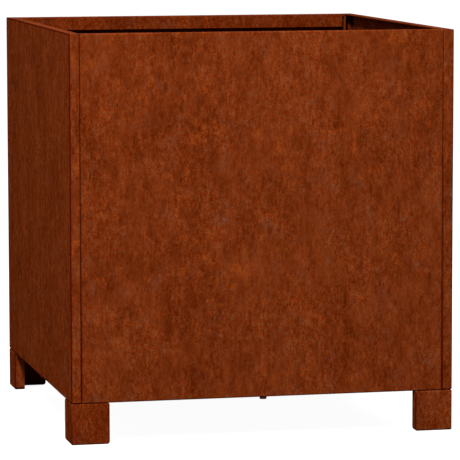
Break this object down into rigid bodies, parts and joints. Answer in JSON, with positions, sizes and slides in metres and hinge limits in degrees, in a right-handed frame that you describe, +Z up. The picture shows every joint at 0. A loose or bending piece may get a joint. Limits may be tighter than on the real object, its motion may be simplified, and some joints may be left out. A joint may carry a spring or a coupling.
{
  "type": "planter box",
  "caption": "Square weathering-steel planter box of bolted folded-sheet panels, with an inward rim, a drained floor and folded corner feet, for soil and plants.",
  "frame": {"origin": "on the ground under the middle of the planter", "axes": "+Z up, +X to the right and -Y towards the viewer of the front"},
  "size_m": [0.8, 0.8, 0.83],
  "materials": {
    "rust_sheet": "rusted weathering steel, matte, mottled",
    "floor_sheet": "darker rusted weathering steel, matte",
    "bolt_steel": "rust-stained steel fasteners, satin"
  },
  "bodies": {
    "root": {"back_panel": "rust_sheet", "floor_bolt_back": "bolt_steel", "floor_bolt_front": "bolt_steel", "floor_bolt_left": "bolt_steel", "floor_bolt_right": "bolt_steel", "floor_nut_back": "bolt_steel", "floor_nut_front": "bolt_steel", "floor_nut_left": "bolt_steel", "floor_nut_right": "bolt_steel", "floor_panel": "floor_sheet", "foot_back_left": "rust_sheet", "foot_back_right": "rust_sheet", "foot_bolt_back_left_a": "bolt_steel", "foot_bolt_back_left_b": "bolt_steel", "foot_bolt_back_right_a": "bolt_steel", "foot_bolt_back_right_b": "bolt_steel", "foot_bolt_front_left_a": "bolt_steel", "foot_bolt_front_left_b": "bolt_steel", "foot_bolt_front_right_a": "bolt_steel", "foot_bolt_front_right_b": "bolt_steel", "foot_front_left": "rust_sheet", "foot_front_right": "rust_sheet", "foot_nut_back_left_a": "bolt_steel", "foot_nut_back_left_b": "bolt_steel", "foot_nut_back_right_a": "bolt_steel", "foot_nut_back_right_b": "bolt_steel", "foot_nut_front_left_a": "bolt_steel", "foot_nut_front_left_b": "bolt_steel", "foot_nut_front_right_a": "bolt_steel", "foot_nut_front_right_b": "bolt_steel", "front_panel": "rust_sheet", "left_panel": "rust_sheet", "right_panel": "rust_sheet", "seam_bolt_back_left_high": "bolt_steel", "seam_bolt_back_left_low": "bolt_steel", "seam_bolt_back_left_middle": "bolt_steel", "seam_bolt_back_right_high": "bolt_steel", "seam_bolt_back_right_low": "bolt_steel", "seam_bolt_back_right_middle": "bolt_steel", "seam_bolt_front_left_high": "bolt_steel", "seam_bolt_front_left_low": "bolt_steel", "seam_bolt_front_left_middle": "bolt_steel", "seam_bolt_front_right_high": "bolt_steel", "seam_bolt_front_right_low": "bolt_steel", "seam_bolt_front_right_middle": "bolt_steel", "seam_nut_back_left_high": "bolt_steel", "seam_nut_back_left_low": "bolt_steel", "seam_nut_back_left_middle": "bolt_steel", "seam_nut_back_right_high": "bolt_steel", "seam_nut_back_right_low": "bolt_steel", "seam_nut_back_right_middle": "bolt_steel", "seam_nut_front_left_high": "bolt_steel", "seam_nut_front_left_low": "bolt_steel", "seam_nut_front_left_middle": "bolt_steel", "seam_nut_front_right_high": "bolt_steel", "seam_nut_front_right_low": "bolt_steel", "seam_nut_front_right_middle": "bolt_steel"}
  },
  "joints": []
}
